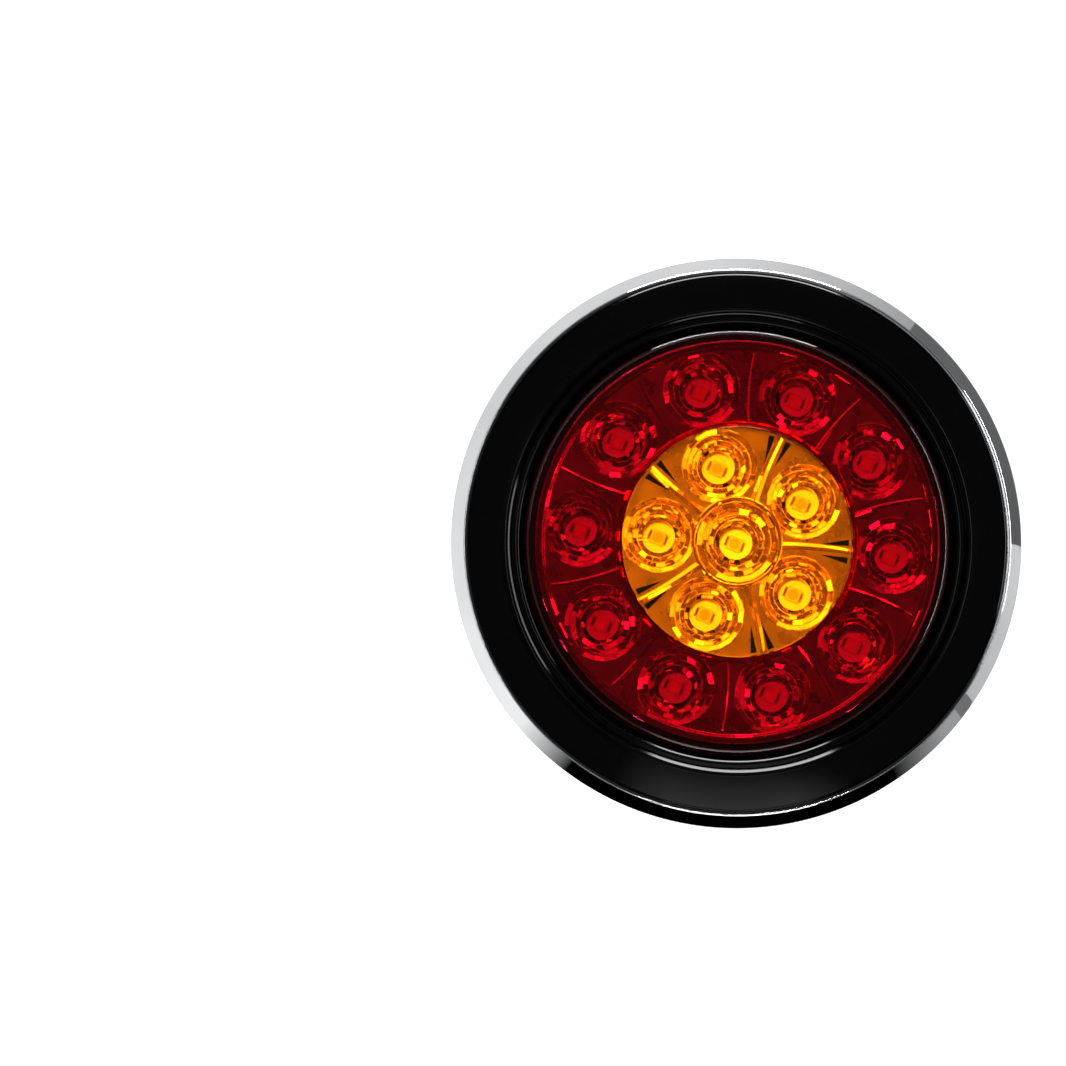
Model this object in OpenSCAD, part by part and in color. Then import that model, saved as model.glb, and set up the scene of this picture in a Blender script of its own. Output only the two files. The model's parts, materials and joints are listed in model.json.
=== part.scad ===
// Round LED trailer tail light, held in a rubber grommet with a bright trim ring.
// The face looks along -Y and Z is up. The origin is the centre of the panel hole, on the panel's outer face.
// The modules draw with +Z towards the viewer, and to_row() turns that towards -Y.

/* [Trim ring] */
// Outside diameter of the trim ring
ring_d = 140; // [138:0.5:144]
// Height of the trim ring above the panel
ring_h = 5.4; // [5:0.1:6]
// Thickness of the ring's pressed sheet
sheet_t = 0.8; // [0.6:0.1:0.9]

/* [Grommet] */
// Diameter of the panel hole that the grommet fits
panel_hole_d = 114.3; // [114:0.1:115]
// Thickest panel that the grommet's groove takes
panel_t = 3.0; // [2.2:0.1:3.4]
// Outside diameter of the grommet's front flange
flange_d = 132; // [130:0.5:132]
// Height of the grommet's ridge above the panel
ridge_h = 8.0; // [7.6:0.1:9]
// Depth of the grommet behind the panel
grommet_depth = 16; // [14:0.5:17]

/* [Lamp] */
// Diameter of the lamp's clamped rim
rim_d = 109.5; // [109:0.1:110]
// Diameter of the lens where it passes the grommet's lip
lens_d = 104; // [103.8:0.1:104.4]
// Height of the lens face above the panel
face_h = 6.5; // [6.2:0.1:7]
// Thickness of the lens
lens_t = 2.2; // [2:0.1:2.4]
// Diameter of the amber centre
amber_d = 56.4; // [56:0.1:57]
// Depth of the housing's back wall behind the panel
back_depth = 22.5; // [22:0.5:25]
// Turn of the lamp in its grommet, counterclockwise as seen from the front
clocking = -23; // [-180:1:180]

/* [Optics] */
// Radius of the ring of red lights
red_ring_r = 38.4; // [38.2:0.1:38.6]
// Radius of the ring of amber lights
amber_ring_r = 19.1; // [18.9:0.1:19.1]
// Radius of a red reflector cup at its mouth
red_cup_r = 9.5; // [9:0.1:9.6]
// Radius of an outer amber reflector cup at its mouth
amber_cup_r = 8.7; // [8.4:0.1:8.7]
// Radius of the centre reflector cup at its mouth
centre_cup_r = 10.1; // [9.8:0.1:10.1]
// Radius of the hole at the bottom of each cup
cup_hole_r = 4.1; // [3.8:0.1:4.3]
// Number of steps up the side of a cup
cup_steps = 4; // [3:1:5]
// Side of a square LED package
led_w = 3.5; // [3:0.1:4]

/* [Plug socket] */
// Diameter of a plug pin
pin_d = 4.0; // [3.8:0.1:4.2]
// Distance between neighbouring plug pins
pin_pitch = 9.5; // [9.2:0.1:10]
// Depth of the plug socket
socket_depth = 8.5; // [8:0.1:10]

/* [Hidden] */
$fn = 96;

red_count = 10;
amber_count = 5;
amber_r = amber_d / 2;
rim_r = rim_d / 2;
lens_r = lens_d / 2;
flange_r = flange_d / 2;
ring_r = ring_d / 2;
pin_r = pin_d / 2;
over = 1;               // how far a cutter runs past the face that it cuts
fit_gap = 0.1;          // between the grommet and the lamp
// Heights along the lamp's axis, above the panel's outer face
rim_top = 2.8;          // front of the lens rim, under the grommet's lip
rim_joint = 1.0;        // where the lens rim meets the housing rim
rim_bottom = -1.4;      // back of the housing rim
lens_back = face_h - lens_t;
web_top = lens_back - 1.1;
board_top = -9.0;
board_t = 1.6;
board_back = board_top - board_t;
wall_t = 2.5;           // back wall of the housing
cavity_floor = wall_t - back_depth;
potting_top = cavity_floor + 4.0;
socket_rim = -back_depth - socket_depth;
pin_tip = socket_rim + 2.0;
pin_end = potting_top + 1.4;
wire_end = board_back - 0.6;
// Radii of the lamp's shell
body_r = 50.6;
bore_r = 48.6;
board_r = 48.2;
ledge_r = 46.0;
skirt_r = lens_r - 2.2; // inside of the lens's skirt
neck_r = panel_hole_d / 2 - 0.15;
bead_r = neck_r + 3.2;
washer_r = panel_hole_d / 2 + 0.45;
ring_gap = 0.5;         // between the grommet's edge and the trim ring
shoulder_r = 1.2;       // rounding of the lens's edge
lap_w = 1.6;            // width of the lap where the two lenses join
lap_t = 0.9;            // thickness of that lap
// Groove for the seal, in the front of the housing's rim
seal_r = 52.0;
seal_w = 1.6;
seal_t = 0.8;
roof_slope = 33;        // steepness of the ridges' roof-shaped tops
floor_chamfer = 1.4;    // where the cavity's floor meets its wall
// Turns that put one red light straight up, one amber light straight down, and the screws between cups
red_turn = 18;
amber_turn = 54;
screw_turn = 36;
screw_slots = [0, 3, 7];
screw_ring_r = 43.2;
screw_r = 1.25;
screw_grip = 5;         // length of thread in the reflector
led_t = 1.4;
window_r = led_w * 0.38;
window_t = 0.45;
collar_r = pin_r + 0.4; // the part of a pin that is moulded into the housing
tail_r = 1.1;           // a pin's inner end
wire_r = 0.8;
solder_t = 0.35;

// Points on an arc of radius r about [x, y], in n steps
function arc(x, y, r, from, to, n) = [for (i = [0:n]) let (a = from + (to - from) * i / n)
    [x + r * cos(a), y + r * sin(a)]];

function polar(r, a) = [r * cos(a), r * sin(a), 0];

// Points between a and b on a shallow curve that hangs below the straight line by sag, in n steps
function hollow(a, b, sag, n) = [for (i = [1:n - 1]) let (t = i / n)
    a + (b - a) * t - [0, 4 * sag * t * (1 - t)]];

// Places on the lamp before it is turned in its grommet
red_places = [for (i = [0:red_count - 1]) polar(red_ring_r, red_turn + i * 360 / red_count)];
amber_ring = [for (i = [0:amber_count - 1]) polar(amber_ring_r, amber_turn + i * 360 / amber_count)];
amber_places = concat([[0, 0, 0]], amber_ring);
screw_places = [for (slot = screw_slots) polar(screw_ring_r, screw_turn + slot * 360 / red_count)];
tail_place = [-pin_pitch, 0, 0];
ground_place = [0, 0, 0];
turn_place = [pin_pitch, 0, 0];
pin_places = [tail_place, ground_place, turn_place];
// How far, and in which direction, each wire runs from its pin to its pad on the board
wire_reach = 5.5;
tail_heading = 180;
ground_heading = 90;
turn_heading = 0;
resistor_places = [for (i = [0:5]) polar(26, i * 60)];
diode_places = [for (i = [0:2]) polar(36, 75 + i * 120)];

module to_row() rotate([90, 0, 0]) children();

module lamp() to_row() rotate([0, 0, clocking]) children();

module at(places) for (place = places) translate(place) children();

// A body of revolution from an outline of [radius, height] points
module lathe(outline) rotate_extrude() polygon(outline);

module disc(r, from, to) translate([0, 0, from]) cylinder(r = r, h = to - from);

module tube(outer, inner, from, to) difference() {
    disc(outer, from, to);
    disc(inner, from - over, to + over);
}

// A box centred on the axis, from one height to another
module slab(x, y, from, to) translate([-x / 2, -y / 2, from]) cube([x, y, to - from]);

// A block with round ends, along the row of pins
module oblong(r, from, to) {
    for (place = [tail_place, turn_place]) translate(place) disc(r, from, to);
    slab(2 * pin_pitch, 2 * r, from, to);
}

// Pressed sheet: a washer under the grommet's flange, a wall round it, and a skirt that slopes to the panel
module trim_ring() {
    wall_r = flange_r + ring_gap;
    crown = 0.2;        // rounding of the edge between the wall and the skirt
    skirt_h = 2.2;      // from the top of the ring down to the underside of the skirt, at the wall
    foot_h = 0.3;       // height of the ring's upright outer edge
    lean = 31;          // how far the skirt's face looks up from the panel
    color("silver") to_row() lathe(concat(
        [[washer_r, 0], [wall_r + sheet_t, 0], [wall_r + sheet_t, ring_h - skirt_h],
         [ring_r - sheet_t, 0], [ring_r, 0], [ring_r, foot_h]],
        arc(wall_r + crown, ring_h - crown, crown, lean, 180, 6),
        [[wall_r, sheet_t], [washer_r, sheet_t]]
    ));
}

// Soft ring that grips the panel's edge outside and the lamp's rim inside
module grommet() {
    edge = 1.2;         // rounding of the flange's edge
    edge_h = 4.6;
    sag = 0.3;          // hollow of the flange's sloping face
    ridge = 1.1;        // rounding of the ridge
    ridge_r = 56.9;
    ridge_back = 3.5;   // rounding of the ridge's inner side, and the centre of that rounding
    ridge_back_at = [58.3, ridge_h - 3.04];
    valley = [55.2, 6.45];
    lip_r = lens_r + 0.15;
    lip = 0.9;          // rounding of the lip's outer and inner edges, and the centres of both
    lip_outer_at = [54.27, 5.73];
    lip_inner_at = [53.84, 5.33];
    lip_top = 3.0;      // rounding of the lip's sloping top, and its centre
    lip_top_at = [55.47, 4.01];
    bead = 0.8;         // rounding of the bead behind the panel
    bead_depth = 1.6;   // from the panel's back to the middle of the bead
    back_out = 2.4;     // how far the grommet's back end stands outside the lamp's body
    slope_start = arc(flange_r - edge, edge_h, edge, 66, 66, 1)[0];
    slope_end = arc(ridge_r, ridge_h - ridge, ridge, 72, 72, 1)[0];
    color([0.03, 0.03, 0.03]) to_row() lathe(concat(
        [[neck_r, sheet_t], [flange_r, sheet_t]],
        arc(flange_r - edge, edge_h, edge, 0, 66, 6),
        hollow(slope_start, slope_end, sag, 6),
        arc(ridge_r, ridge_h - ridge, ridge, 72, 126, 5),
        arc(ridge_back_at[0], ridge_back_at[1], ridge_back, 127, 142, 3),
        [valley],
        arc(lip_outer_at[0], lip_outer_at[1], lip, 75, 125, 4),
        arc(lip_top_at[0], lip_top_at[1], lip_top, 126, 141, 3),
        arc(lip_inner_at[0], lip_inner_at[1], lip, 142, 178, 3),
        [[lip_r, rim_top], [rim_r + fit_gap, rim_top], [rim_r + fit_gap, rim_bottom],
         [body_r + fit_gap, rim_bottom], [body_r - 0.6, -grommet_depth],
         [body_r + back_out, -grommet_depth]],
        arc(bead_r - bead, -panel_t - bead_depth, bead, -50, 30, 4),
        [[neck_r, -panel_t]]
    ));
}

// Back shell, with a rim, a ledge for the board, ribs on its back and the plug socket
module housing() {
    rib_h = 1.6;
    rib_t = 1.4;
    rib_end = 44.6;
    rib_count = 6;
    hub_r = 7.5;
    socket_r = 5.75;
    back_r = 48.0;
    back_chamfer = 1.6;
    taper_r = 49.4;     // radius of the body at the grommet's back end
    key_w = 2.4;
    key_h = 1.15;
    color([0.05, 0.05, 0.05]) lamp() {
        difference() {
            union() {
                lathe([[0, -back_depth], [back_r - back_chamfer, -back_depth],
                    [back_r, -back_depth + back_chamfer], [taper_r, -grommet_depth],
                    [body_r, rim_bottom], [rim_r, rim_bottom], [rim_r, rim_joint], [0, rim_joint]]);
                for (i = [0:rib_count - 1]) rotate([0, 0, (i + 0.5) * 360 / rib_count])
                    translate([0, -rib_t / 2, -back_depth - rib_h]) cube([rib_end, rib_t, rib_h + over]);
                tube(rib_end + rib_t / 2, rib_end - rib_t / 2, -back_depth - rib_h, -back_depth + over);
                oblong(hub_r, socket_rim, -back_depth + over);
            }
            lathe([[0, cavity_floor], [ledge_r - floor_chamfer, cavity_floor],
                [ledge_r, cavity_floor + floor_chamfer], [ledge_r, board_back], [bore_r, board_back],
                [bore_r, rim_joint + over], [0, rim_joint + over]]);
            oblong(socket_r, socket_rim - over, -back_depth);
            at(pin_places) disc(collar_r, socket_rim, cavity_floor + over);
            tube(seal_r, seal_r - seal_w, rim_joint - seal_t, rim_joint + over);
        }
        translate([0, socket_r - key_h / 2, 0]) slab(key_w, key_h, socket_rim + over, -back_depth);
    }
}

module lens_seal() color([0.1, 0.1, 0.1]) lamp() tube(seal_r, seal_r - seal_w, rim_joint - seal_t, rim_joint);

module red_lens() {
    corner = 0.6;
    color([0.7, 0.02, 0.03, 0.6]) lamp() lathe(concat(
        [[amber_r, face_h]],
        arc(lens_r - shoulder_r, face_h - shoulder_r, shoulder_r, 90, 0, 6),
        [[lens_r, rim_top], [rim_r, rim_top], [rim_r, rim_joint], [skirt_r, rim_joint],
         [skirt_r, lens_back - corner], [skirt_r - corner, lens_back], [amber_r + lap_w, lens_back],
         [amber_r + lap_w, lens_back + lap_t], [amber_r, lens_back + lap_t]]
    ));
}

module amber_lens() color([1, 0.55, 0, 0.6]) lamp() {
    disc(amber_r, lens_back, face_h);
    disc(amber_r + lap_w, lens_back, lens_back + lap_t);
}

// The space in a cup: a straight well round the LED, then sloped bands, each a little above the one inside it
module cup_space(mouth_r) {
    well_top = -3.2;
    tread = 0.24;       // width of the step between two bands
    band_w = (mouth_r - cup_hole_r) / cup_steps;
    climb = (web_top - well_top) / cup_steps;
    first_slope = 40;
    last_slope = 33;
    lathe(concat(
        [[0, board_top - over], [cup_hole_r, board_top - over]],
        [for (i = [0:cup_steps - 1]) let (
            inner = cup_hole_r + band_w * i,
            outer = inner + band_w - tread,
            slope = first_slope + (last_slope - first_slope) * i / (cup_steps - 1),
            low = well_top + climb * (i + 0.25)
        ) each [[inner, low], [outer, low + (outer - inner) * tan(slope)]]],
        [[mouth_r, web_top], [mouth_r, web_top + over], [0, web_top + over]]
    ));
}

module cup_shell(mouth_r) {
    foot = 1.0;
    brim = 1.6;
    translate([0, 0, board_top])
        cylinder(r1 = cup_hole_r + foot, r2 = mouth_r + brim, h = web_top - board_top);
}

// Outline of a ridge with a roof-shaped top, centred on x
function roof(x, w) = let (foot = web_top - 3, eaves = web_top + 0.1, crest = eaves + w / 2 * tan(roof_slope))
    [[x - w / 2, foot], [x + w / 2, foot], [x + w / 2, eaves], [x, crest], [x - w / 2, eaves]];

// A straight ridge along a radius
module fin(from, to, w) translate([from, 0, 0]) rotate([90, 0, 90]) linear_extrude(to - from)
    polygon(roof(0, w));

// Ridges that stand on the web between the cups
module ridges() {
    ring_w = 1.0;
    amber_fin_w = 1.7;
    red_fin_w = 0.9;
    gap = 0.2;          // from a ring-shaped ridge to a straight one
    centre_r = centre_cup_r + 0.6;
    boundary_r = amber_r + 0.9;
    lathe(roof(centre_r, ring_w));
    lathe(roof(boundary_r, ring_w));
    for (i = [0:amber_count - 1]) rotate([0, 0, amber_turn + (i + 0.5) * 360 / amber_count])
        fin(centre_r + ring_w / 2 + gap, amber_r - 0.4, amber_fin_w);
    for (i = [0:red_count - 1]) rotate([0, 0, red_turn + (i + 0.5) * 360 / red_count])
        fin(boundary_r + ring_w / 2 + gap, board_r - 1.7, red_fin_w);
}

// One moulded and metallised part: a web, sixteen stepped cups, ridges, screw posts, and a rim under the lens
module reflector() {
    web_t = 1.4;
    wall = 1.2;
    post_r = 2.4;
    divider_r = amber_r + 0.15;
    divider_t = 0.7;
    color([0.85, 0.85, 0.88]) lamp() {
        difference() {
            union() {
                disc(board_r, web_top - web_t, web_top);
                tube(board_r, board_r - wall, board_top, web_top);
                tube(skirt_r - 0.2, board_r - wall, rim_joint, web_top);
                tube(skirt_r - 0.8, board_r, web_top, lens_back);
                tube(divider_r + divider_t / 2, divider_r - divider_t / 2, web_top, lens_back - 0.2);
                intersection() {
                    disc(board_r, board_top, web_top);
                    union() {
                        at(red_places) cup_shell(red_cup_r);
                        at(amber_ring) cup_shell(amber_cup_r);
                        cup_shell(centre_cup_r);
                    }
                }
                at(screw_places) disc(post_r, board_top, web_top);
            }
            at(red_places) cup_space(red_cup_r);
            at(amber_ring) cup_space(amber_cup_r);
            cup_space(centre_cup_r);
            at(screw_places) disc(screw_r, board_top - over, board_top + screw_grip + over);
        }
        ridges();
    }
}

module circuit_board() color([0.92, 0.94, 0.9]) lamp() difference() {
    disc(board_r, board_back, board_top);
    at(screw_places) disc(screw_r + 0.15, board_back - over, board_top + over);
}

module led_body() difference() {
    slab(led_w, led_w, board_top, board_top + led_t);
    disc(window_r, board_top + led_t - window_t, board_top + led_t + over);
}

module led_window() disc(window_r, board_top + led_t - window_t, board_top + led_t);

module red_led_bodies() color("white") lamp() at(red_places) led_body();

module red_led_windows() color([0.95, 0.75, 0.7]) lamp() at(red_places) led_window();

module amber_led_bodies() color("white") lamp() at(amber_places) led_body();

module amber_led_windows() color([0.95, 0.85, 0.5]) lamp() at(amber_places) led_window();

// A piece at each end of a component that lies along X
module both_ends(length, end_w) for (side = [-1, 1])
    translate([side * (length + end_w) / 2, 0, 0]) children();

// A fillet of solder at each side of every LED
module led_solder() {
    fillet_w = 0.7;
    fillet_l = 2.4;
    color("lightgray") lamp() at(concat(red_places, amber_places)) both_ends(led_w, fillet_w)
        slab(fillet_w, fillet_l, board_top, board_top + solder_t);
}

// Surface-mount resistors, as ceramic bodies with metal ends
resistor_l = 5.1;
resistor_w = 3.2;
resistor_t = 0.6;

module resistors() color([0.08, 0.08, 0.09]) lamp() at(resistor_places)
    slab(resistor_l, resistor_w, board_back - resistor_t, board_back);

module resistor_ends() {
    end_w = 0.6;
    color("lightgray") lamp() at(resistor_places) both_ends(resistor_l, end_w)
        slab(end_w, resistor_w, board_back - resistor_t, board_back);
}

// Surface-mount diodes, as moulded bodies on flat leads
diode_l = 4.3;

module diodes() {
    diode_w = 2.6;
    diode_t = 2.1;
    color([0.1, 0.1, 0.1]) lamp() at(diode_places) slab(diode_l, diode_w, board_back - diode_t, board_back);
}

module diode_leads() {
    lead_l = 1.0;
    lead_w = 1.5;
    lead_h = 1.1;
    color("lightgray") lamp() at(diode_places) both_ends(diode_l, lead_l)
        slab(lead_l, lead_w, board_back - lead_h, board_back);
}

// Cross-recessed screws, from behind the board into the reflector's posts
module board_screws() {
    head_r = 2.4;
    head_t = 1.6;
    cross_l = 3.0;
    cross_w = 0.6;
    cross_t = 1.0;
    head_back = board_back - head_t;
    color("silver") lamp() at(screw_places) {
        disc(screw_r, board_back, board_top + screw_grip);
        difference() {
            disc(head_r, head_back, board_back);
            slab(cross_l, cross_w, head_back - over, head_back + cross_t);
            slab(cross_w, cross_l, head_back - over, head_back + cross_t);
        }
    }
}

// A round pin in the socket, a collar moulded into the housing's wall and a thin solder tail inside
module plug_pin() {
    tip = 1.0;          // rounding of the pin's tip
    lathe(concat(
        [[0, pin_tip]],
        arc(pin_r - tip, pin_tip + tip, tip, -90, 0, 6),
        [[pin_r, -back_depth], [collar_r, -back_depth], [collar_r, cavity_floor], [tail_r, cavity_floor],
         [tail_r, pin_end], [0, pin_end]]
    ));
}

module ground_pin() color([0.8, 0.65, 0.3]) lamp() translate(ground_place) plug_pin();

module tail_pin() color([0.8, 0.65, 0.3]) lamp() translate(tail_place) plug_pin();

module turn_pin() color([0.8, 0.65, 0.3]) lamp() translate(turn_place) plug_pin();

// A bead of solder round each pin's inner end and the wire that starts there
module pin_solder() {
    bead = 0.6;
    color("lightgray") lamp() at(pin_places) lathe([
        [tail_r, pin_end - bead], [tail_r + 0.5, pin_end - bead / 2], [tail_r + 0.4, pin_end],
        [wire_r + 0.2, pin_end + bead], [wire_r, pin_end + bead], [wire_r, pin_end], [tail_r, pin_end]
    ]);
}

// A short S-bent wire from the end of a pin to its pad on the board
module board_wire(place, heading) {
    stub = 0.7;
    rise = wire_end - pin_end;
    bend = rise / 2 - stub;
    translate(place) rotate([0, 0, heading]) translate([0, 0, pin_end]) {
        disc(wire_r, 0, stub);
        quarter_turn(bend, [bend, 0, stub], 90);
        translate([bend, 0, rise / 2]) rotate([0, 90, 0]) disc(wire_r, 0, wire_reach - 2 * bend);
        quarter_turn(bend, [wire_reach - bend, 0, rise - stub], 270);
        translate([wire_reach, 0, 0]) disc(wire_r, rise - stub, rise);
    }
}

// A quarter turn of wire in the XZ plane
module quarter_turn(bend, centre, from) translate(centre) rotate([90, 0, 0]) rotate([0, 0, from])
    rotate_extrude(angle = 90) translate([bend, 0]) circle(r = wire_r);

module ground_wire() color("white") lamp() board_wire(ground_place, ground_heading);

module tail_wire() color("saddlebrown") lamp() board_wire(tail_place, tail_heading);

module turn_wire() color("gold") lamp() board_wire(turn_place, turn_heading);

// A bead of solder between each wire and its pad
module wire_bead(place, heading) translate(place + polar(wire_reach, heading)) translate([0, 0, wire_end])
    cylinder(r1 = wire_r + 0.1, r2 = wire_r + 0.9, h = board_back - wire_end);

module wire_solder() color("lightgray") lamp() {
    wire_bead(ground_place, ground_heading);
    wire_bead(tail_place, tail_heading);
    wire_bead(turn_place, turn_heading);
}

// Sealing compound poured over the socket's inner side
module potting() color([0.12, 0.12, 0.12]) lamp() difference() {
    lathe([[0, cavity_floor], [ledge_r - floor_chamfer, cavity_floor],
        [ledge_r, cavity_floor + floor_chamfer], [ledge_r, potting_top], [0, potting_top]]);
    at(pin_places) disc(tail_r, cavity_floor - over, potting_top + over);
}

trim_ring();
grommet();
housing();
lens_seal();
red_lens();
amber_lens();
reflector();
circuit_board();
red_led_bodies();
red_led_windows();
amber_led_bodies();
amber_led_windows();
led_solder();
resistors();
resistor_ends();
diodes();
diode_leads();
board_screws();
ground_pin();
tail_pin();
turn_pin();
pin_solder();
ground_wire();
tail_wire();
turn_wire();
wire_solder();
potting();
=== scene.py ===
"""Finished meshes, materials, light and camera for the round trailer tail light."""
import json
import math

import bmesh
import bpy
from mathutils import Matrix, Vector


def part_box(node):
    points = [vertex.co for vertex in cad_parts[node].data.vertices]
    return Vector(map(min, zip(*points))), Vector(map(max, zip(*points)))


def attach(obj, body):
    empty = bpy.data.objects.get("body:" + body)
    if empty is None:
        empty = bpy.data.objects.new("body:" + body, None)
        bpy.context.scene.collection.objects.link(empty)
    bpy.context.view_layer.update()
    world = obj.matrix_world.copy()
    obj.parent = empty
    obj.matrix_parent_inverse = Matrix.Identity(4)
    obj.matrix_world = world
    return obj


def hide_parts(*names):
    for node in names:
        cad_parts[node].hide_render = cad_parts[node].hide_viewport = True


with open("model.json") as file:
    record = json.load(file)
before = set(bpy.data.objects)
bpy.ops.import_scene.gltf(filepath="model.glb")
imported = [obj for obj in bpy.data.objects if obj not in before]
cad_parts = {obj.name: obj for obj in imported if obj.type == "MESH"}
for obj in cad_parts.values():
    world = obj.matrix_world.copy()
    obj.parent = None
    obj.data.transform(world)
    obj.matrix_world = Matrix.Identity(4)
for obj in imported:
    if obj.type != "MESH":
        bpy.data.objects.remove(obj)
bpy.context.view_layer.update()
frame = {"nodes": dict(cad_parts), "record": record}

MM = 0.001

# ---------------------------------------------------------------------------------------------
# Facts from the frame, in millimetres. A height is a distance in front of the panel's outer face.
# ---------------------------------------------------------------------------------------------


def radius(node):
    low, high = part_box(node)
    return (high.z - low.z) / 2 / MM


def front(node):
    return -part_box(node)[0].y / MM


def back(node):
    return -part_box(node)[1].y / MM


RING_R = radius("trim_ring")
RING_TOP = front("trim_ring")
RIDGE_TOP = front("grommet")
GROMMET_BACK = back("grommet")
RIM_R = radius("red_lens")
RIM_JOINT = back("red_lens")
LAP_R = radius("amber_lens")
FACE = front("amber_lens")
LENS_BACK = back("amber_lens")
BOARD_R = radius("circuit_board")
BOARD_TOP = front("circuit_board")
REFLECTOR_R = radius("reflector")

mounts = {mount["name"]: Vector(mount["pos_m"]) for mount in frame["record"]["mounts"]}
turn_pin, ground_pin = mounts["plug_pin_turn"], mounts["plug_pin_ground"]
CLOCKING = math.atan2(turn_pin.z - ground_pin.z, turn_pin.x - ground_pin.x)

# The lamp's own plan: the two rings of lights, where the first of each stands before clocking, and the lens
RED_COUNT, AMBER_COUNT = 10, 5
RED_RING_R, AMBER_RING_R = 38.4, 19.1
RED_TURN, AMBER_TURN = 18.0, 54.0
LENS_R = 52.0
LAP_W = 1.6
AMBER_R = LAP_R - LAP_W

# ---------------------------------------------------------------------------------------------
# Mesh building. Shapes are made in millimetres with +Z towards the viewer, then turned to the row.
# ---------------------------------------------------------------------------------------------

# Points closer than this are one point
SAME_POINT = 1e-4

TO_ROW = Matrix(((1, 0, 0, 0), (0, 0, -1, 0), (0, 1, 0, 0), (0, 0, 0, 1))) @ Matrix.Scale(MM, 4)
LAMP = TO_ROW @ Matrix.Rotation(CLOCKING, 4, "Z")


def polar(r, degrees, z=0.0):
    a = math.radians(degrees)
    return Vector((r * math.cos(a), r * math.sin(a), z))


def arc(x, y, r, start, end, steps):
    """Points on an arc of radius r about (x, y), between two angles in degrees."""
    angles = [math.radians(start + (end - start) * i / steps) for i in range(steps + 1)]
    return [(x + r * math.cos(a), y + r * math.sin(a)) for a in angles]


def bow(a, b, rise, steps=10):
    """Points between a and b, both left out, on a shallow curve that rises to the left of the way there."""
    (ax, ay), (bx, by) = a, b
    length = math.hypot(bx - ax, by - ay)
    across = (-(by - ay) / length, (bx - ax) / length)
    points = []
    for i in range(1, steps):
        t = i / steps
        lift = rise * 4 * t * (1 - t)
        points.append((ax + (bx - ax) * t + across[0] * lift, ay + (by - ay) * t + across[1] * lift))
    return points


def round_run(x, y, turns, steps=10):
    """Arcs that follow each other smoothly from (x, y): each is a radius, a first and a last angle."""
    points = []
    for r, start, end in turns:
        a = math.radians(start)
        points += arc(x - r * math.cos(a), y - r * math.sin(a), r, start, end, steps)
        x, y = points[-1]
    return points


def linked_object(bm, name):
    """A new object in the scene that holds the bmesh's faces. The bmesh is used up."""
    mesh = bpy.data.meshes.new(name)
    bm.to_mesh(mesh)
    bm.free()
    thing = bpy.data.objects.new(name, mesh)
    bpy.context.scene.collection.objects.link(thing)
    return thing


def finish_mesh(bm, name, placing, material, smooth_under=None):
    """Puts a bmesh into the scene as a piece that rides on the lamp's one body."""
    bmesh.ops.remove_doubles(bm, verts=bm.verts, dist=SAME_POINT)
    bmesh.ops.transform(bm, matrix=placing, verts=bm.verts)
    bmesh.ops.recalc_face_normals(bm, faces=bm.faces)
    piece = linked_object(bm, name)
    if smooth_under is not None:
        piece.data.shade_smooth()
        piece.data.set_sharp_from_angle(angle=math.radians(smooth_under))
    piece.data.materials.append(material)
    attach(piece, "root")
    return piece


def lathe_into(bm, outline, segments, closed=True):
    """
    Adds the surface that an outline of (radius, height) points sweeps round the axis. A closed outline
    runs back to its first point.
    """
    rings = []
    for r, z in outline:
        count = segments if r > 0 else 1
        rings.append([bm.verts.new(polar(r, 360 * i / segments, z)) for i in range(count)])
    following = rings[1:] + rings[:1] if closed else rings[1:]
    for lower, upper in zip(rings, following):
        if len(lower) == 1 and len(upper) == 1:
            continue
        for i in range(segments):
            j = (i + 1) % segments
            corners = [lower[i % len(lower)], lower[j % len(lower)]]
            corners += [upper[j % len(upper)], upper[i % len(upper)]]
            unique = [v for n, v in enumerate(corners) if v not in corners[:n]]
            bm.faces.new(unique)


def held(outline, reach=0.12):
    """The outline with points close to both ends of each long side, so that shading stays flat along it."""
    points = []
    for (ax, ay), (bx, by) in zip(outline, outline[1:] + outline[:1]):
        length = math.hypot(bx - ax, by - ay)
        points.append((ax, ay))
        if length > 5 * reach:
            t = reach / length
            points.append((ax + (bx - ax) * t, ay + (by - ay) * t))
            points.append((bx + (ax - bx) * t, by + (ay - by) * t))
    return points


def lathe(name, outline, material, placing=TO_ROW, segments=256, smooth_under=35):
    bm = bmesh.new()
    lathe_into(bm, held(outline), segments)
    return finish_mesh(bm, name, placing, material, smooth_under)


def combine(base, tools):
    """The bmesh left after a list of (operation, bmesh) tools has worked on the base, in order."""
    body = linked_object(base, "base")
    helpers = []
    for operation, tool in tools:
        bmesh.ops.recalc_face_normals(tool, faces=tool.faces)
        helper = linked_object(tool, "tool")
        helpers.append(helper)
        modifier = body.modifiers.new("combine", "BOOLEAN")
        modifier.operation = operation
        modifier.object = helper
        modifier.solver = "EXACT"
        modifier.use_self = True
    graph = bpy.context.evaluated_depsgraph_get()
    result = bmesh.new()
    result.from_mesh(body.evaluated_get(graph).to_mesh())
    for tool in [body] + helpers:
        mesh = tool.data
        bpy.data.objects.remove(tool)
        bpy.data.meshes.remove(mesh)
    return result


# ---------------------------------------------------------------------------------------------
# Materials
# ---------------------------------------------------------------------------------------------


def surface(name, colour, roughness, **sockets):
    """A Principled material with constants on the shader's own sockets."""
    material = bpy.data.materials.new(name)
    material.use_nodes = True
    shader = material.node_tree.nodes["Principled BSDF"]
    shader.inputs["Base Color"].default_value = (*colour, 1.0)
    shader.inputs["Roughness"].default_value = roughness
    for socket, value in sockets.items():
        shader.inputs[socket.replace("_", " ").title().replace("Ior", "IOR")].default_value = value
    return material


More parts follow.
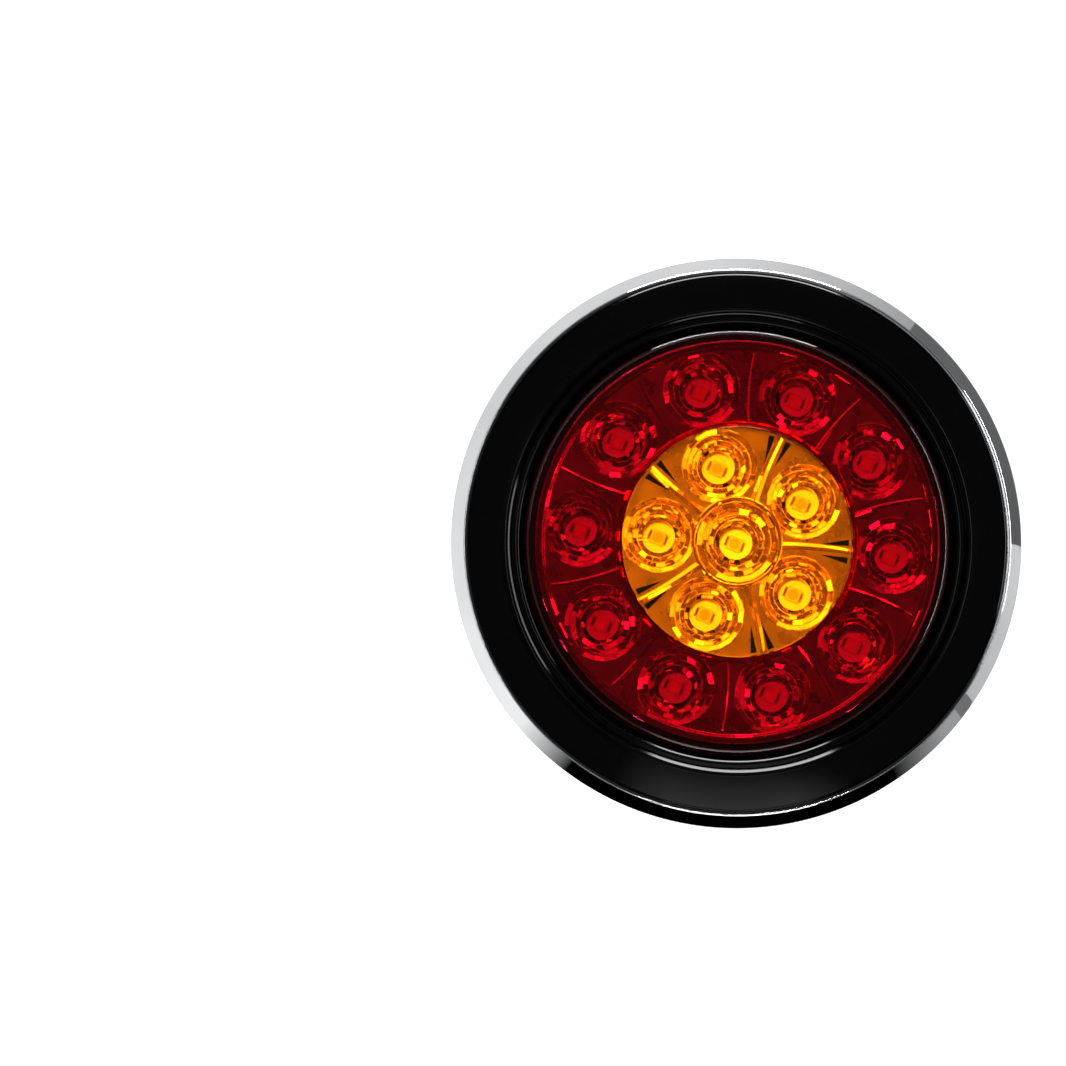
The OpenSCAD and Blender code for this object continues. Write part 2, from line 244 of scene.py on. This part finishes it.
def noise(material, scale):
    """A noise pattern fixed to the object, scale waves to the metre."""
    nodes, links = material.node_tree.nodes, material.node_tree.links
    where = nodes.new("ShaderNodeTexCoord")
    pattern = nodes.new("ShaderNodeTexNoise")
    pattern.inputs["Scale"].default_value = scale
    pattern.inputs["Detail"].default_value = 3.0
    links.new(where.outputs["Object"], pattern.inputs["Vector"])
    return pattern.outputs["Fac"]


def spread(material, value, low, high):
    """Maps a pattern's middle range onto low to high."""
    nodes, links = material.node_tree.nodes, material.node_tree.links
    node = nodes.new("ShaderNodeMapRange")
    links.new(value, node.inputs["Value"])
    node.inputs["From Min"].default_value = 0.35
    node.inputs["From Max"].default_value = 0.65
    node.inputs["To Min"].default_value = low
    node.inputs["To Max"].default_value = high
    return node.outputs["Result"]


def blend_colours(material, value, first, second):
    nodes, links = material.node_tree.nodes, material.node_tree.links
    node = nodes.new("ShaderNodeMix")
    node.data_type = "RGBA"
    links.new(value, node.inputs["Factor"])
    node.inputs["A"].default_value = (*first, 1.0)
    node.inputs["B"].default_value = (*second, 1.0)
    return node.outputs["Result"]


def drive(material, socket, value):
    shader = material.node_tree.nodes["Principled BSDF"]
    material.node_tree.links.new(value, shader.inputs[socket])


def emboss(material, value, height):
    """Adds relief height metres deep from a pattern."""
    nodes, links = material.node_tree.nodes, material.node_tree.links
    node = nodes.new("ShaderNodeBump")
    node.inputs["Distance"].default_value = height
    links.new(value, node.inputs["Height"])
    drive(material, "Normal", node.outputs["Normal"])


def worn(name, colour, darker, roughness, grain, height, **sockets):
    """
    A moulded or metal finish: two close tones, uneven gloss, and relief height metres deep with grain
    waves to the metre.
    """
    material = surface(name, colour, roughness, **sockets)
    tone = spread(material, noise(material, 60), 0, 1)
    drive(material, "Base Color", blend_colours(material, tone, colour, darker))
    gloss = spread(material, noise(material, 220), roughness * 0.8, roughness * 1.25)
    drive(material, "Roughness", gloss)
    emboss(material, noise(material, grain), height)
    return material


def lens_material(name, tint):
    """Clear coloured plastic. Lamps' light passes straight through it, coloured as by the glass."""
    root = tuple(math.sqrt(c) for c in tint)
    material = surface(name, tint, 0.02, ior=1.58, transmission_weight=1.0, specular_ior_level=0.12)
    nodes, links = material.node_tree.nodes, material.node_tree.links
    path = nodes.new("ShaderNodeLightPath")
    clear = nodes.new("ShaderNodeBsdfTransparent")
    clear.inputs["Color"].default_value = (*root, 1.0)
    mix = nodes.new("ShaderNodeMixShader")
    output = nodes["Material Output"]
    links.new(path.outputs["Is Shadow Ray"], mix.inputs["Fac"])
    links.new(nodes["Principled BSDF"].outputs["BSDF"], mix.inputs[1])
    links.new(clear.outputs["BSDF"], mix.inputs[2])
    links.new(mix.outputs["Shader"], output.inputs["Surface"])
    return material


CHROME = worn("chrome_trim", (0.80, 0.81, 0.82), (0.74, 0.75, 0.77), 0.03, 900, 0.0000003, metallic=1.0)
RUBBER = worn("grommet_rubber", (0.0001, 0.0001, 0.00012), (0.0002, 0.0002, 0.0002), 0.10, 1500, 0.000001,
              specular_ior_level=0.10)
PLASTIC = worn("housing_plastic", (0.016, 0.016, 0.017), (0.024, 0.024, 0.025), 0.42, 4000, 0.00002)
SEAL = worn("seal_silicone", (0.015, 0.015, 0.016), (0.025, 0.025, 0.026), 0.55, 1200, 0.00002)
LENS_RED = lens_material("lens_red", (0.38, 0.012, 0.04))
LENS_AMBER = lens_material("lens_amber", (1.0, 0.42, 0.03))
METALLISED = worn("reflector_metal", (0.90, 0.90, 0.91), (0.84, 0.84, 0.85), 0.06, 700, 0.000002,
                  metallic=1.0)
METALLISED_WEB = worn("reflector_metal_web", (0.90, 0.90, 0.91), (0.84, 0.84, 0.85), 0.30, 700, 0.00001,
                      metallic=1.0)
BOARD = worn("board_white", (0.86, 0.87, 0.84), (0.80, 0.81, 0.78), 0.45, 2500, 0.000004)
PACKAGE = worn("led_package", (0.76, 0.60, 0.38), (0.70, 0.55, 0.34), 0.35, 3000, 0.000004)
WINDOW_RED = worn("led_window_red", (0.90, 0.55, 0.48), (0.84, 0.48, 0.42), 0.12, 2000, 0.000002)
WINDOW_AMBER = worn("led_window_amber", (0.85, 0.42, 0.08), (0.78, 0.36, 0.06), 0.12, 2000, 0.000002)
SOLDER = worn("solder", (0.78, 0.78, 0.79), (0.70, 0.70, 0.72), 0.5, 3000, 0.00001, metallic=1.0)
RESISTOR = worn("resistor_body", (0.02, 0.02, 0.022), (0.03, 0.03, 0.032), 0.35, 5000, 0.000006)
RESISTOR_END = worn("resistor_end", (0.70, 0.70, 0.71), (0.60, 0.60, 0.61), 0.30, 5000, 0.000006,
                    metallic=1.0)
DIODE = worn("diode_body", (0.018, 0.018, 0.019), (0.026, 0.026, 0.027), 0.50, 6000, 0.00001)
DIODE_LEAD = worn("diode_lead", (0.68, 0.68, 0.69), (0.58, 0.58, 0.59), 0.28, 3000, 0.000004, metallic=1.0)
STEEL = worn("screw_steel", (0.58, 0.58, 0.60), (0.50, 0.50, 0.52), 0.30, 2500, 0.000006, metallic=1.0)
BRASS = worn("pin_brass", (0.78, 0.56, 0.24), (0.62, 0.42, 0.18), 0.25, 1800, 0.000006, metallic=1.0)
WIRE_WHITE = worn("wire_white", (0.80, 0.80, 0.77), (0.72, 0.72, 0.69), 0.40, 2500, 0.000006)
WIRE_BROWN = worn("wire_brown", (0.16, 0.06, 0.03), (0.12, 0.045, 0.02), 0.40, 2500, 0.000006)
WIRE_YELLOW = worn("wire_yellow", (0.80, 0.52, 0.03), (0.70, 0.44, 0.02), 0.40, 2500, 0.000006)
POTTING = worn("potting_epoxy", (0.02, 0.02, 0.021), (0.03, 0.03, 0.031), 0.20, 400, 0.0001)

# ---------------------------------------------------------------------------------------------
# Trim ring and grommet
# ---------------------------------------------------------------------------------------------

# Sizes that both pieces share, as in the CAD model
SHEET = 0.8
FLANGE_R = 66.0
WASHER_R = 57.6
NECK_R = 57.0
RIM_TOP = 2.8
RIM_BACK = -1.4


def make_trim_ring():
    wall_r = FLANGE_R + 0.5
    edge, hem = 0.2, 0.3
    skirt_h = 2.2
    lean = 31
    crown = round_run(wall_r, RING_TOP - edge, [(edge, 180, 90), (edge, 90, lean)])
    foot = arc(RING_R - hem, hem, hem, -90, 12, 8)
    outline = [(WASHER_R, 0), (wall_r + SHEET, 0), (wall_r + SHEET, RING_TOP - skirt_h), (RING_R - SHEET, 0)]
    outline += foot + bow(foot[-1], crown[-1], -0.10)
    outline += crown[::-1] + [(wall_r, SHEET), (WASHER_R, SHEET)]
    piece = lathe("trim_ring_finished", outline, CHROME, segments=360)
    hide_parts("trim_ring")


def make_grommet():
    """The outline runs up the flange's edge, over the ridge and the lip, and back behind the panel."""
    edge_round, edge_h = 1.2, 4.6
    ridge_start, ridge_round, ridge_back_round = (57.24, RIDGE_TOP - 0.05), 1.1, 3.5
    valley = (55.2, 6.45)
    lip_start, lip_round, lip_top_round = (54.5, 6.6), 0.9, 3.0
    lip_r, rim_gap = LENS_R + 0.15, 0.1
    bore_r, tail_in, tail_out = 50.7, 50.0, 53.0
    bead_r, bead_round, bead_h = 60.2, 0.8, -4.6
    panel_back = -3.0
    edge = arc(FLANGE_R - edge_round, edge_h, edge_round, -20, 66, 14)
    ridge = round_run(*ridge_start, [(ridge_round, 72, 126), (ridge_back_round, 126, 142)])
    lip = round_run(*lip_start, [(lip_round, 75, 125), (lip_top_round, 125, 141), (lip_round, 141, 178)])
    groove = [(lip_r, RIM_TOP), (RIM_R + rim_gap, RIM_TOP), (RIM_R + rim_gap, RIM_BACK), (bore_r, RIM_BACK)]
    bead = arc(bead_r - bead_round, bead_h, bead_round, -50, 30, 10)
    outline = [(NECK_R, SHEET), (FLANGE_R - 0.5, SHEET), (FLANGE_R - 0.1, SHEET + 0.4)]
    outline += edge + bow(edge[-1], ridge[0], -0.3, 14) + ridge + [valley] + lip + groove
    outline += [(tail_in, GROMMET_BACK), (tail_out, GROMMET_BACK)] + bead + [(NECK_R, panel_back)]
    piece = lathe("grommet_finished", outline, RUBBER, segments=360)
    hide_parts("grommet")


# ---------------------------------------------------------------------------------------------
# Lenses
# ---------------------------------------------------------------------------------------------

JOINT_GAP = 0.03
LAP_TOP = LENS_BACK + 0.9
EASE = 0.12


def make_lenses():
    skirt_r = 49.8
    shoulder, corner = 1.2, 0.6
    red_bore = AMBER_R + JOINT_GAP
    outline = [(red_bore, FACE - EASE), (red_bore + EASE, FACE)]
    outline += arc(LENS_R - shoulder, FACE - shoulder, shoulder, 90, 0, 16)
    outline += [(LENS_R, RIM_TOP), (RIM_R - EASE, RIM_TOP), (RIM_R, RIM_TOP - EASE), (RIM_R, RIM_JOINT)]
    outline += [(skirt_r, RIM_JOINT)] + arc(skirt_r - corner, LENS_BACK - corner, corner, 0, 90, 6)
    outline += [(LAP_R + JOINT_GAP, LENS_BACK), (LAP_R + JOINT_GAP, LAP_TOP + JOINT_GAP)]
    outline += [(red_bore, LAP_TOP + JOINT_GAP)]
    red = lathe("red_lens_finished", outline, LENS_RED, LAMP, segments=288)
    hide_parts("red_lens")
    amber_r = AMBER_R - JOINT_GAP
    outline = [(0, LENS_BACK), (LAP_R, LENS_BACK), (LAP_R, LAP_TOP), (amber_r, LAP_TOP)]
    outline += [(amber_r, FACE - EASE), (amber_r - EASE, FACE), (0, FACE)]
    amber = lathe("amber_lens_finished", outline, LENS_AMBER, LAMP, segments=288)
    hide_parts("amber_lens")


# ---------------------------------------------------------------------------------------------
# Reflector: a web with sixteen cups whose walls are bands of flat facets
# ---------------------------------------------------------------------------------------------

WEB_TOP = LENS_BACK - 1.1
HOLE_R = 4.1
CENTRE_CUP_R, AMBER_CUP_R, RED_CUP_R = 10.1, 9.3, 9.6
FACETS = 20
WELL_TOP = -3.2
BAND_SLOPES = (40, 38, 36, 33)
SLOPE_SPREAD = 8
ROOF_SLOPE = math.tan(math.radians(33))
RIDGE_FOOT = BOARD_TOP + 0.5
DIVIDER_IN, DIVIDER_OUT = AMBER_R - 0.2, AMBER_R + 0.5

RED_STEP, AMBER_STEP = 360 / RED_COUNT, 360 / AMBER_COUNT
red_places = [polar(RED_RING_R, RED_TURN + RED_STEP * i) for i in range(RED_COUNT)]
amber_places = [polar(AMBER_RING_R, AMBER_TURN + AMBER_STEP * i) for i in range(AMBER_COUNT)]
amber_fins = [AMBER_TURN + AMBER_STEP * (i + 0.5) for i in range(AMBER_COUNT)]
red_fins = [RED_TURN + RED_STEP * (i + 0.5) for i in range(RED_COUNT)]


def scatter(*keys):
    """A fixed number from -1 to 1 that looks random, for the given whole numbers."""
    value = math.sin(sum(key * step for key, step in zip(keys, (12.9898, 78.233, 37.719)))) * 43758.5453
    return 2 * (value - math.floor(value)) - 1


def cup_into(bm, centre, mouth_r, number):
    """
    Adds the space of one cup: bands of flat facets, staggered from band to band. Each facet has its own
    tilt, so the cup glitters.
    """
    width = (mouth_r - HOLE_R) / len(BAND_SLOPES)
    riser, joint = 0.24, 0.10

    def height(r):
        return WELL_TOP + (WEB_TOP - WELL_TOP) * (r - HOLE_R) / (mouth_r - HOLE_R)

    def ring(r, turn, heights):
        """Two points for each facet, a narrow joint apart from the next facet's."""
        gap = math.degrees(joint / r) / 2
        points = []
        for i, z in enumerate(heights):
            points.append(bm.verts.new(polar(r, 360 * (i + turn) / FACETS + gap, z) + centre))
            points.append(bm.verts.new(polar(r, 360 * (i + 1 + turn) / FACETS - gap, z) + centre))
        return points

    over = 1.5
    rings = [ring(HOLE_R, 0, [BOARD_TOP - over] * FACETS)]
    for band in range(len(BAND_SLOPES)):
        turn = (band % 2) / 2
        r_low = HOLE_R + width * band
        r_high = r_low + width - riser
        middle = height((r_low + r_high) / 2)
        lows, highs = [], []
        for i in range(FACETS):
            tilt = math.radians(BAND_SLOPES[band] + SLOPE_SPREAD * scatter(i, band, number))
            rise = (r_high - r_low) / 2 * math.tan(tilt)
            lows.append(max(middle - rise, BOARD_TOP + 0.05))
            highs.append(min(middle + rise, WEB_TOP - 0.1))
        rings += [ring(r_low, turn, lows), ring(r_high, turn, highs)]
    rings += [ring(mouth_r, turn, [WEB_TOP] * FACETS), ring(mouth_r, turn, [WEB_TOP + over] * FACETS)]
    count = 2 * FACETS
    for lower, upper in zip(rings, rings[1:]):
        for i in range(count):
            j = (i + 1) % count
            bm.faces.new((lower[i], lower[j], upper[j], upper[i]))
    bm.faces.new(rings[0][::-1])
    bm.faces.new(rings[-1])


def fin_into(bm, inner, outer, widths, bend):
    """
    Adds a fin with a roof-shaped top from inner to outer, two points on the plan. It tapers between two
    widths and bends sideways at its middle.
    """
    along = (outer - inner).normalized()
    across = Vector((-along.y, along.x, 0))
    steps, flat = 8, 0.08
    eaves = WEB_TOP + 0.1
    sections = []
    for i in range(steps + 1):
        t = i / steps
        middle = inner.lerp(outer, t) + across * bend * 4 * t * (1 - t)
        half = (widths[0] + (widths[1] - widths[0]) * t) / 2
        crest = eaves + (half - flat) * ROOF_SLOPE
        right = [(half, RIDGE_FOOT), (half, eaves), (flat, crest)]
        profile = right + [(-x, z) for x, z in right[::-1]]
        sections.append([bm.verts.new(middle + across * x + Vector((0, 0, z))) for x, z in profile])
    for first, last in zip(sections, sections[1:]):
        for i in range(len(first)):
            j = (i + 1) % len(first)
            bm.faces.new((first[i], first[j], last[j], last[i]))
    bm.faces.new(sections[0][::-1])
    bm.faces.new(sections[-1])


def roof(r, half, eaves):
    """The outline of a ring-shaped ridge with a roof-shaped top."""
    flat = 0.08
    crest = eaves + (half - flat) * ROOF_SLOPE
    outside = [(r + half, RIDGE_FOOT), (r + half, eaves), (r + flat, crest)]
    return outside + [(r - flat, crest), (r - half, eaves), (r - half, RIDGE_FOOT)]


def pit_into(bm, corners, apex):
    """Adds a three-sided pit: a triangle above the web and a point below it."""
    over = 1.0
    foot = [bm.verts.new((corner.x, corner.y, WEB_TOP)) for corner in corners]
    top = [bm.verts.new((corner.x, corner.y, WEB_TOP + over)) for corner in corners]
    point = bm.verts.new(apex)
    bm.faces.new(top)
    for i in range(3):
        j = (i + 1) % 3
        bm.faces.new((foot[i], foot[j], top[j], top[i]))
        bm.faces.new((foot[j], foot[i], point))


def reflector_base():
    """The web, its rim under the lens, its wall down to the board and the divider between the two colours."""
    lip_w = 0.6
    lip = LENS_BACK - 0.06
    rim_h = RIM_JOINT + 0.02
    divider_top = LENS_BACK - 0.26
    base = bmesh.new()
    lathe_into(base, [
        (0, BOARD_TOP), (BOARD_R, BOARD_TOP), (BOARD_R, rim_h), (REFLECTOR_R, rim_h), (REFLECTOR_R, WEB_TOP),
        (REFLECTOR_R - lip_w, WEB_TOP), (REFLECTOR_R - lip_w, lip), (BOARD_R, lip), (BOARD_R, WEB_TOP),
        (DIVIDER_OUT, WEB_TOP), (DIVIDER_OUT, divider_top), (DIVIDER_IN, divider_top), (DIVIDER_IN, WEB_TOP),
        (0, WEB_TOP)], 144)
    return base


def reflector_cups():
    cups = bmesh.new()
    cup_into(cups, Vector((0, 0, 0)), CENTRE_CUP_R, 0)
    for n, place in enumerate(amber_places):
        cup_into(cups, place, AMBER_CUP_R, 1 + n)
    for n, place in enumerate(red_places):
        cup_into(cups, place, RED_CUP_R, 1 + AMBER_COUNT + n)
    return cups


def reflector_pits():
    """A deep, narrow notch at each side of every amber fin."""
    inner_r, outer_r, deepest_r = 20.4, 27.4, 25.5
    depth = 6
    pits = bmesh.new()
    for turn in amber_fins:
        for side in (-1, 1):
            corners = [polar(inner_r, turn + side * 3.6), polar(outer_r, turn + side * 3.0)]
            corners.append(polar(outer_r, turn + side * 6.2))
            pit_into(pits, corners, polar(deepest_r, turn + side * 4.2, WEB_TOP - depth))
    return pits


def reflector_ridges():
    ring_in, ring_out = 10.15, 11.25
    amber_widths, amber_bend = (2.0, 1.3), 0.4
    red_widths, red_bend = (1.2, 0.8), 0.6
    ridges = bmesh.new()
    crest = arc((ring_in + ring_out) / 2, WEB_TOP + 0.15, (ring_out - ring_in) / 2, 0, 180, 8)
    lathe_into(ridges, [(ring_out, RIDGE_FOOT)] + crest + [(ring_in, RIDGE_FOOT)], 96)
    for r, half in ((AMBER_R + 1.0, 0.5), (BOARD_R - 0.8, 0.4)):
        lathe_into(ridges, roof(r, half, WEB_TOP + 0.2), 144)
    for turn in amber_fins:
        fin_into(ridges, polar(ring_out - 0.3, turn), polar(DIVIDER_IN - 0.3, turn), amber_widths, amber_bend)
    for turn in red_fins:
        fin_into(ridges, polar(DIVIDER_OUT + 0.8, turn), polar(BOARD_R - 1.7, turn), red_widths, red_bend)
    return ridges


def make_reflector():
    tools = [("DIFFERENCE", reflector_cups()), ("DIFFERENCE", reflector_pits())]
    tools.append(("UNION", reflector_ridges()))
    piece = finish_mesh(combine(reflector_base(), tools), "reflector_finished", LAMP, METALLISED)
    piece.data.materials.append(METALLISED_WEB)
    for face in piece.data.polygons:
        if abs(-face.center.y / MM - WEB_TOP) < 0.02 and face.normal.y < -0.99:
            face.material_index = 1
    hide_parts("reflector")


# ---------------------------------------------------------------------------------------------
# CAD nodes that keep their meshes
# ---------------------------------------------------------------------------------------------

KEPT = {
    "housing": PLASTIC, "lens_seal": SEAL, "circuit_board": BOARD, "red_led_bodies": PACKAGE,
    "red_led_windows": WINDOW_RED, "amber_led_bodies": PACKAGE, "amber_led_windows": WINDOW_AMBER,
    "led_solder": SOLDER, "resistors": RESISTOR, "resistor_ends": RESISTOR_END, "diodes": DIODE,
    "diode_leads": DIODE_LEAD, "board_screws": STEEL, "ground_pin": BRASS, "tail_pin": BRASS,
    "turn_pin": BRASS, "pin_solder": SOLDER, "ground_wire": WIRE_WHITE, "tail_wire": WIRE_BROWN,
    "turn_wire": WIRE_YELLOW, "wire_solder": SOLDER, "potting": POTTING,
}


def dress_kept_nodes():
    for name, material in KEPT.items():
        mesh = frame["nodes"][name].data
        mesh.materials.clear()
        mesh.materials.append(material)


# ---------------------------------------------------------------------------------------------
# Stage, light and camera
# ---------------------------------------------------------------------------------------------


# The camera sees this width of the lamp's plane, from this distance
FRAME_WIDTH = 0.2616
CAMERA_AWAY = 1.0
CAMERA_TARGET = Vector((-0.0499, 0.0, 0.0024))


def glow_material():
    """White light whose strength is the mesh's own glow value."""
    material = bpy.data.materials.new("card_glow")
    material.use_nodes = True
    nodes, links = material.node_tree.nodes, material.node_tree.links
    nodes.remove(nodes["Principled BSDF"])
    strength = nodes.new("ShaderNodeAttribute")
    strength.attribute_name = "glow"
    emission = nodes.new("ShaderNodeEmission")
    links.new(strength.outputs["Fac"], emission.inputs["Strength"])
    links.new(emission.outputs["Emission"], nodes["Material Output"].inputs["Surface"])
    material.cycles.emission_sampling = "NONE"
    return material


GLOW = glow_material()


def card(name, azimuth, off_axis, strength, inside=False, distance=0.9, fade=1.0):
    """
    A bright or black patch of the sphere round the lamp, between two azimuths (degrees from +X, towards
    +Z) and two angles off the lamp's front axis. It is seen only in reflections, or with inside=True only
    through the lenses. A pair of strengths runs from the first azimuth to the second; fade is the share
    left at the second off-axis angle.
    """
    first, last = strength if isinstance(strength, tuple) else (strength, strength)
    step = 4
    across = max(2, int((azimuth[1] - azimuth[0]) / step))
    along = max(2, int((off_axis[1] - off_axis[0]) / step))
    bm = bmesh.new()
    glow = bm.verts.layers.float.new("glow")
    grid = []
    for i in range(across + 1):
        a = math.radians(azimuth[0] + (azimuth[1] - azimuth[0]) * i / across)
        line = []
        for j in range(along + 1):
            t = math.radians(off_axis[0] + (off_axis[1] - off_axis[0]) * j / along)
            direction = Vector((math.sin(t) * math.cos(a), -math.cos(t), math.sin(t) * math.sin(a)))
            vert = bm.verts.new(direction * distance)
            vert[glow] = (first + (last - first) * i / across) * (1 + (fade - 1) * j / along)
            line.append(vert)
        grid.append(line)
    for i in range(across):
        for j in range(along):
            bm.faces.new((grid[i][j], grid[i + 1][j], grid[i + 1][j + 1], grid[i][j + 1]))
    piece = linked_object(bm, name)
    piece.data.materials.append(GLOW)
    piece.visible_camera = False
    piece.visible_diffuse = False
    piece.visible_shadow = False
    piece.visible_glossy = not inside
    piece.visible_transmission = inside


def sweep_glow(place):
    """Strength of the sweep's painted glow. It is full, so the sweep shows white, where the camera looks at
    rest, in a wedge that widens away from it. Elsewhere it is dimmer, so the sweep shows pale grey.
    """
    margin, widening, nearest = 0.02, 1.1, -0.72
    soft_edge, dimming = 0.2, 0.70
    view_half = margin + FRAME_WIDTH / 2 * widening * (place.y + CAMERA_AWAY)
    aside = (abs(place.x - CAMERA_TARGET.x) - view_half) / soft_edge
    before = (nearest - place.y) / soft_edge
    outside = min(max(aside, before, 0), 1)
    return 1.0 - dimming * outside


def make_stage():
    """A floor of grey paper that sweeps up into a wall all round and glows. Painted light makes it white
    where the camera looks at rest and pale grey elsewhere. Its grey parts show off the bright trim.
    """
    floor_z = -RING_R * MM - 0.0002
    wall_r, bend, wall_top = 1.9, 0.7, 2.6
    outline = [(i / 10, floor_z) for i in range(12)]
    outline += arc(wall_r - bend, floor_z + bend, bend, -90, 0, 16)
    outline += [(wall_r, wall_top)]
    bm = bmesh.new()
    glow = bm.verts.layers.float.new("glow")
    lathe_into(bm, outline, 96, closed=False)
    for vert in bm.verts:
        vert[glow] = sweep_glow(vert.co)
    sweep = linked_object(bm, "sweep")
    sweep.data.shade_smooth()
    sweep.visible_glossy = False
    sweep.visible_transmission = False
    # Mid-grey paper. Its white and pale grey are painted glow: an emission whose strength is each point's
    # glow value.
    glowing_paper = surface("sweep_paper", (0.25, 0.25, 0.25), 0.9, specular_ior_level=0.0)
    glowing_paper.node_tree.nodes["Principled BSDF"].inputs["Emission Color"].default_value = (1, 1, 1, 1)
    strength = glowing_paper.node_tree.nodes.new("ShaderNodeAttribute")
    strength.attribute_name = "glow"
    drive(glowing_paper, "Emission Strength", strength.outputs["Fac"])
    sweep.data.materials.append(glowing_paper)


def lamp_light(name, kind, place, watts, target=(0, 0, 0), **settings):
    """A light that shows in no reflection: the cards do that work."""
    data = bpy.data.lights.new(name, kind)
    data.energy = watts
    for key, value in settings.items():
        setattr(data, key, value)
    light = bpy.data.objects.new(name, data)
    light.location = place
    light.rotation_mode = "QUATERNION"
    light.rotation_quaternion = (Vector(target) - Vector(place)).to_track_quat("-Z", "Y")
    light.visible_glossy = False
    light.visible_transmission = False
    bpy.context.scene.collection.objects.link(light)
    return light


# Cards that the outside of the lamp reflects: azimuths, angles off the front axis, strength, and the
# share of it that is left at the far edge
OUTSIDE_CARDS = {
    "overhead": ((66, 110), (66, 101), 50, 1), "right": ((-12, 34), (80, 101), 14, 1),
    "front": ((-15, 35), (12.5, 20), 8, 1), "front_haze": ((35, 165), (12.5, 20), 1.2, 1),
    "low": ((256, 290), (84, 101), 10, 1), "low_bounce_start": ((244, 258), (14, 56), (0.0, 0.5), 8),
    "low_bounce": ((258, 286), (14, 56), 0.5, 8), "low_bounce_end": ((286, 300), (14, 56), (0.5, 0.0), 8),
    "left_glow": ((180, 256), (84, 101), 0.5, 1), "rear": ((0, 360), (141, 175), 0.4, 1),
}

# Cards behind the lamp's edge, which the trim ring's skirt reflects: azimuths and strength
RIM_CARDS = {
    "rim_right": ((2, 50), (0.12, 0.16)), "rim_top_start": ((50, 90), (0.42, 0.84)),
    "rim_top": ((90, 150), (0.84, 0.80)), "rim_left": ((150, 220), (0.80, 1.1)),
    "rim_left_end": ((220, 234), (1.1, 0.0)), "rim_bottom": ((234, 308), 0.0),
    "rim_low_end": ((308, 322), (0.0, 0.40)), "rim_low": ((322, 326), 0.40),
    "rim_seam": ((326, 330), 0.2), "rim_low_right": ((330, 362), (0.6, 0.75)),
}

RIM_SPAN = (102, 140)

# Cards that are seen through the lenses, in the reflector: azimuths, angles off the front axis, strength
INSIDE_CARDS = {
    "inside_front": ((0, 360), (0, 30), 0.31), "inside_top": ((60, 140), (30, 101), 7),
    "inside_left": ((140, 330), (30, 101), 0.4), "inside_right": ((330, 370), (30, 101), 5),
    "inside_gap": ((10, 60), (30, 101), 0.8),
}
GLINTS = 40


def make_lights():
    world = bpy.data.worlds.new("studio")
    bpy.context.scene.world = world
    world.use_nodes = True
    world.node_tree.nodes["Background"].inputs["Color"].default_value = (0.02, 0.02, 0.02, 1)
    lamp_light("overhead_light", "AREA", (0, -0.2, 1.2), 12, size=0.8)
    lamp_light("rear_fill", "AREA", (0.6, 1.0, 0.8), 12, size=0.6)
    lens_cone = 2 * math.atan(LENS_R * MM)
    lamp_light("lens_light", "SPOT", (-0.08, -1.0, 0.10), 230, spot_size=lens_cone, spot_blend=0.1,
               shadow_soft_size=0.05)
    sparkle = lamp_light("sparkle", "AREA", (-0.30, -1.0, 0.35), 1.5, shape="DISK", size=0.16)
    sparkle.visible_transmission = True

    for name, (azimuth, off_axis, strength, fade) in OUTSIDE_CARDS.items():
        card(name, azimuth, off_axis, strength, fade=fade)
    card("all_round", (0, 360), (20, 66), 0.22, distance=0.92)
    for name, (azimuth, strength) in RIM_CARDS.items():
        card(name, azimuth, RIM_SPAN, strength, distance=0.95)
    for name, (azimuth, off_axis, strength) in INSIDE_CARDS.items():
        card(name, azimuth, off_axis, strength, inside=True)
    wide, high, strength = 4, 5, 90
    for i in range(GLINTS):
        azimuth = 360 / GLINTS * i + 4 * scatter(i, 1)
        off_axis = 66 + 20 * scatter(i, 2)
        card(f"glint_{i}", (azimuth, azimuth + wide), (off_axis, off_axis + high), strength, inside=True,
             distance=0.85)


def make_camera():
    data = bpy.data.cameras.new("camera")
    data.sensor_width = 36
    data.lens = data.sensor_width / 2 / (FRAME_WIDTH / 2 / CAMERA_AWAY)
    camera = bpy.data.objects.new("camera", data)
    camera.location = CAMERA_TARGET + Vector((0.0, -CAMERA_AWAY, -0.044))
    camera.rotation_mode = "QUATERNION"
    camera.rotation_quaternion = (CAMERA_TARGET - camera.location).to_track_quat("-Z", "Y")
    data.clip_start, data.clip_end = 0.01, 20
    bpy.context.scene.collection.objects.link(camera)
    bpy.context.scene.camera = camera


make_camera()
make_trim_ring()
make_grommet()
make_lenses()
make_reflector()
dress_kept_nodes()
make_stage()
make_lights()
bpy.context.scene.view_settings.view_transform = "Standard"
